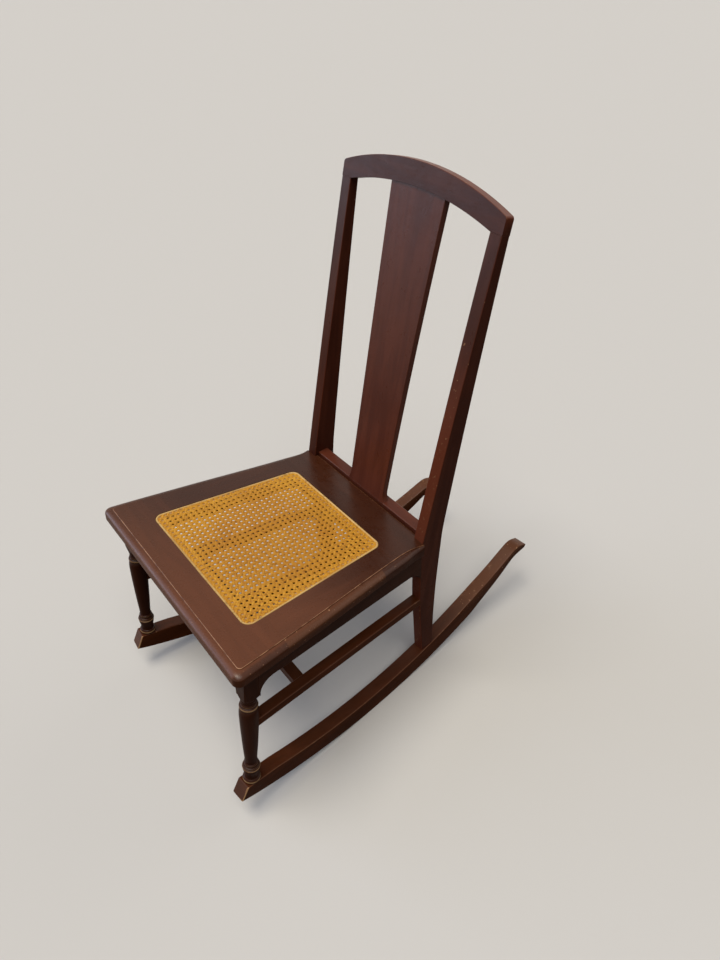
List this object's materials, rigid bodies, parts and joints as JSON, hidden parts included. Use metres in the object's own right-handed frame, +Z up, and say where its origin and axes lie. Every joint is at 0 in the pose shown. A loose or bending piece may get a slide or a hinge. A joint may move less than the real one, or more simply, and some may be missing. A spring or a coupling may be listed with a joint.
{
  "type": "rocking chair",
  "caption": "Low armless rocking chair with a cane seat in a moulded board frame, turned front legs, leaning rear posts, a wide splat under an arched crest rail, and curved rockers.",
  "frame": {"origin": "middle of the chair's footprint, on the floor", "axes": "+Z up, -Y towards the front of the seat, +X to the right of somebody who faces the chair's front"},
  "size_m": [0.442, 0.7204, 0.8614],
  "materials": {
    "stained_wood": "dark red-brown stain under worn satin varnish",
    "raw_wood": "bare hardwood",
    "cane": "natural cane, glossy skin side up",
    "screw": "dull steel"
  },
  "bodies": {
    "root": {"rocker_left": "stained_wood", "rocker_right": "stained_wood", "front_leg_left": "stained_wood", "front_leg_right": "stained_wood", "rear_post_left": "stained_wood", "rear_post_right": "stained_wood", "side_apron_left": "stained_wood", "side_apron_right": "stained_wood", "side_stretcher_left": "stained_wood", "side_stretcher_right": "stained_wood", "crest_rail": "stained_wood", "splat": "stained_wood", "rear_rail": "stained_wood", "front_apron": "stained_wood", "cross_stretcher": "stained_wood", "seat_front_board": "stained_wood", "seat_rear_board": "stained_wood", "seat_side_board_left": "stained_wood", "seat_side_board_right": "stained_wood", "cane_sheet": "cane", "cane_spline": "cane", "rear_foot_dowel_left": "raw_wood", "crest_dowel_left_inner": "raw_wood", "crest_dowel_left_outer": "raw_wood", "seat_dowel_left_front_outer": "raw_wood", "seat_dowel_left_front_inner": "raw_wood", "seat_dowel_left_rear_outer": "raw_wood", "seat_dowel_left_rear_inner": "raw_wood", "rear_foot_dowel_right": "raw_wood", "crest_dowel_right_inner": "raw_wood", "crest_dowel_right_outer": "raw_wood", "seat_dowel_right_front_outer": "raw_wood", "seat_dowel_right_front_inner": "raw_wood", "seat_dowel_right_rear_outer": "raw_wood", "seat_dowel_right_rear_inner": "raw_wood", "corner_block_front_left": "raw_wood", "corner_block_front_right": "raw_wood", "corner_block_rear_left": "raw_wood", "corner_block_rear_right": "raw_wood", "seat_screw_front_left": "screw", "seat_screw_front_right": "screw", "seat_screw_rear_left": "screw", "seat_screw_rear_right": "screw"}
  },
  "joints": []
}
